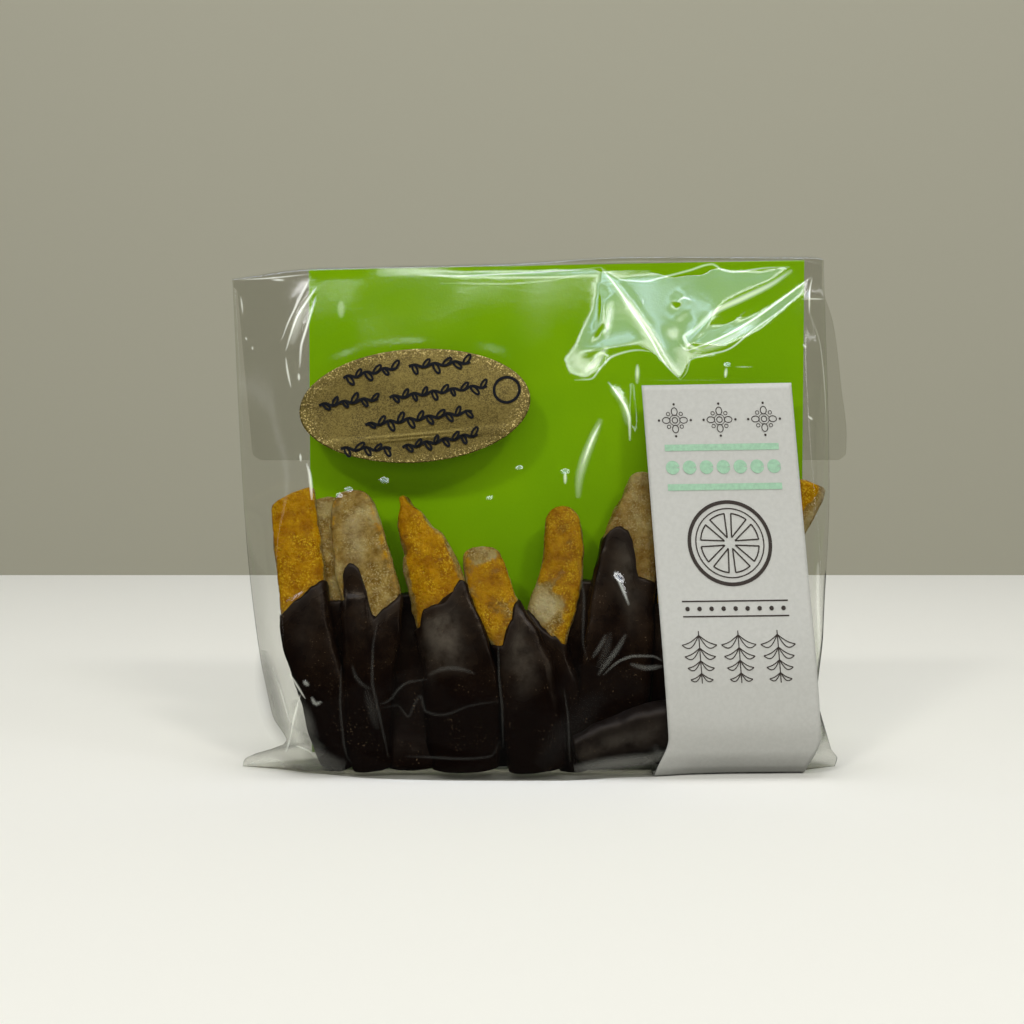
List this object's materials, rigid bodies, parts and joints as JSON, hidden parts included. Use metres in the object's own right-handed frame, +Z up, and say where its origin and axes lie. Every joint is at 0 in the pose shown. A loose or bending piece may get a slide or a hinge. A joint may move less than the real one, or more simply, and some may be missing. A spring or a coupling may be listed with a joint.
{
  "type": "bag of chocolate dipped orange peel",
  "caption": "Sealed clear bag of candied orange peel strips half dipped in dark chocolate, standing before a green card, with a gold oval sticker and a white paper label.",
  "frame": {"origin": "centre of the bounding box at its lowest point, on the ground under the middle of the bag", "axes": "+X to the right across the bag's width, +Y from its front with the label to its back with the folded flap, +Z up"},
  "size_m": [0.1383, 0.0282, 0.1132],
  "materials": {
    "film": "gloss",
    "gold_paper": "satin",
    "white_paper": "matte",
    "green_card": "satin",
    "orange_peel": "satin",
    "dark_chocolate": "satin"
  },
  "bodies": {
    "root": {"bag": "film", "gold_sticker": "gold_paper", "paper_label": "white_paper"}
  },
  "joints": []
}
